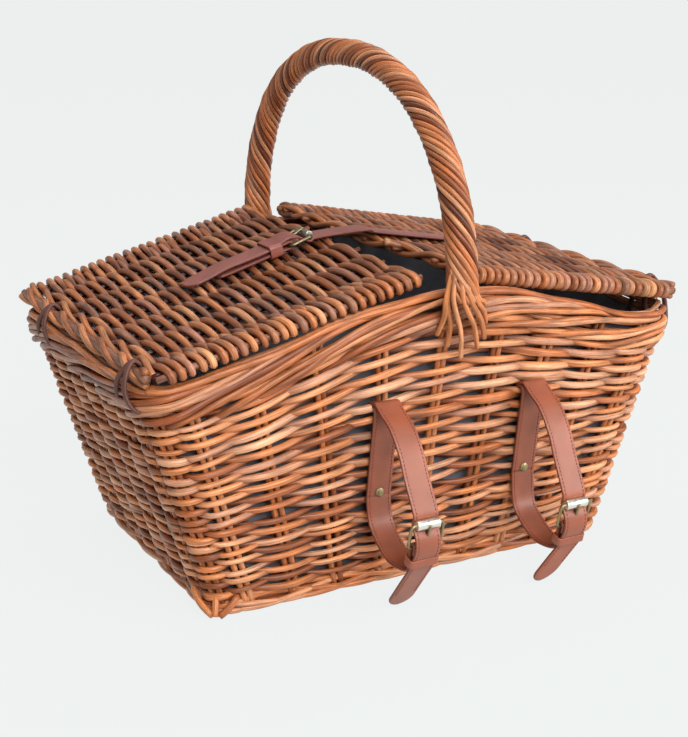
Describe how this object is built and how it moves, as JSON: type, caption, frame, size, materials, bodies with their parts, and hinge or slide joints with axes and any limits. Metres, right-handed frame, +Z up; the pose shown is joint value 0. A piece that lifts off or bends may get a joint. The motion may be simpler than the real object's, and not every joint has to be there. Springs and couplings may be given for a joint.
{
  "type": "picnic basket",
  "caption": "Woven willow picnic basket with flared body, fixed arch handle, hinged lids buckled together by a leather strap, and buckled blanket straps on its front.",
  "frame": {"origin": "centre of the base's underside, on the floor", "axes": "+X along the basket, +Y towards the back, away from the blanket straps, +Z up"},
  "size_m": [0.4548, 0.3807, 0.3871],
  "materials": {
    "willow": "peeled and tan-stained willow rods, satin",
    "lid_willow": "darker stained willow rods, satin",
    "leather": "smooth tan strap leather with stitched edges",
    "thong": "dark brown leather thong, matt",
    "cloth": "dark grey plain-woven lining",
    "brass": "antique brass, worn",
    "nickel": "bright plated roller"
  },
  "bodies": {
    "basket": {"foot_border": "willow", "base_panel": "willow", "front_wall": "willow", "back_wall": "willow", "left_end_wall": "willow", "right_end_wall": "willow", "front_rim_border": "willow", "right_rim_border": "willow", "back_rim_border": "willow", "left_rim_border": "willow", "lining": "cloth", "handle_wrap": "willow", "handle_core": "willow", "front_handle_foot": "willow", "back_handle_foot": "willow", "left_hinge_tie_1": "thong", "left_hinge_tie_2": "thong", "right_hinge_tie_1": "thong", "right_hinge_tie_2": "thong", "left_strap_back_band": "leather", "left_strap_buckle_frame": "brass", "left_strap_keeper": "leather", "left_strap_rivet": "brass", "right_strap_back_band": "leather", "right_strap_buckle_frame": "brass", "right_strap_keeper": "leather", "right_strap_rivet": "brass"},
    "left_lid": {"left_lid_panel": "lid_willow", "left_lid_hinge_rod": "lid_willow", "left_lid_edge_stick": "lid_willow", "closing_strap_tab": "leather", "closing_strap_buckle_frame": "brass", "closing_strap_keeper": "leather", "closing_strap_tab_rivet": "brass"},
    "right_lid": {"right_lid_panel": "lid_willow", "right_lid_hinge_rod": "lid_willow", "right_lid_edge_stick": "lid_willow", "closing_strap_anchor_rivet": "brass"},
    "closing_strap_free_end": {"closing_strap": "leather"},
    "closing_prong": {"closing_strap_buckle_prong": "brass"},
    "closing_roller": {"closing_strap_buckle_roller": "nickel"},
    "left_tongue": {"left_strap_tongue": "leather"},
    "left_prong": {"left_strap_buckle_prong": "brass"},
    "left_roller": {"left_strap_buckle_roller": "nickel"},
    "right_tongue": {"right_strap_tongue": "leather"},
    "right_prong": {"right_strap_buckle_prong": "brass"},
    "right_roller": {"right_strap_buckle_roller": "nickel"}
  },
  "joints": [
    {"name": "left_lid_hinge", "type": "hinge", "parent": "basket", "child": "left_lid", "pos_m": [-0.21706, 0, 0.1863], "axis": [0, -1, 0], "range_deg": [0, 165]},
    {"name": "right_lid_hinge", "type": "hinge", "parent": "basket", "child": "right_lid", "pos_m": [0.21706, 0, 0.1963], "axis": [0, 1, 0], "range_deg": [0, 165]},
    {"name": "closing_strap_flip", "type": "hinge", "parent": "right_lid", "child": "closing_strap_free_end", "pos_m": [0.0098, -0.004, 0.243], "axis": [0, 1, 0], "range_deg": [0, 150], "deforming": ["closing_strap"]},
    {"name": "closing_prong_turn", "type": "hinge", "parent": "left_lid", "child": "closing_prong", "pos_m": [-0.0568, -0.004, 0.23787], "axis": [0, -1, 0], "range_deg": [0, 75]},
    {"name": "closing_roller_spin", "type": "hinge", "parent": "left_lid", "child": "closing_roller", "pos_m": [-0.03987, -0.004, 0.24398], "axis": [0, -1, 0], "continuous": true},
    {"name": "left_tongue_flip", "type": "hinge", "parent": "basket", "child": "left_tongue", "pos_m": [-0.046, -0.1421, 0.148], "axis": [-1, 0, 0], "range_deg": [0, 95], "deforming": ["left_strap_tongue"]},
    {"name": "left_prong_turn", "type": "hinge", "parent": "basket", "child": "left_prong", "pos_m": [-0.046, -0.19397, 0.061], "axis": [1, 0, 0], "range_deg": [0, 75]},
    {"name": "left_roller_spin", "type": "hinge", "parent": "basket", "child": "left_roller", "pos_m": [-0.046, -0.19832, 0.07847], "axis": [1, 0, 0], "continuous": true},
    {"name": "right_tongue_flip", "type": "hinge", "parent": "basket", "child": "right_tongue", "pos_m": [0.081, -0.1404, 0.144], "axis": [-1, 0, 0], "range_deg": [0, 95], "deforming": ["right_strap_tongue"]},
    {"name": "right_prong_turn", "type": "hinge", "parent": "basket", "child": "right_prong", "pos_m": [0.081, -0.19234, 0.051], "axis": [1, 0, 0], "range_deg": [0, 75]},
    {"name": "right_roller_spin", "type": "hinge", "parent": "basket", "child": "right_roller", "pos_m": [0.081, -0.1967, 0.06847], "axis": [1, 0, 0], "continuous": true}
  ]
}
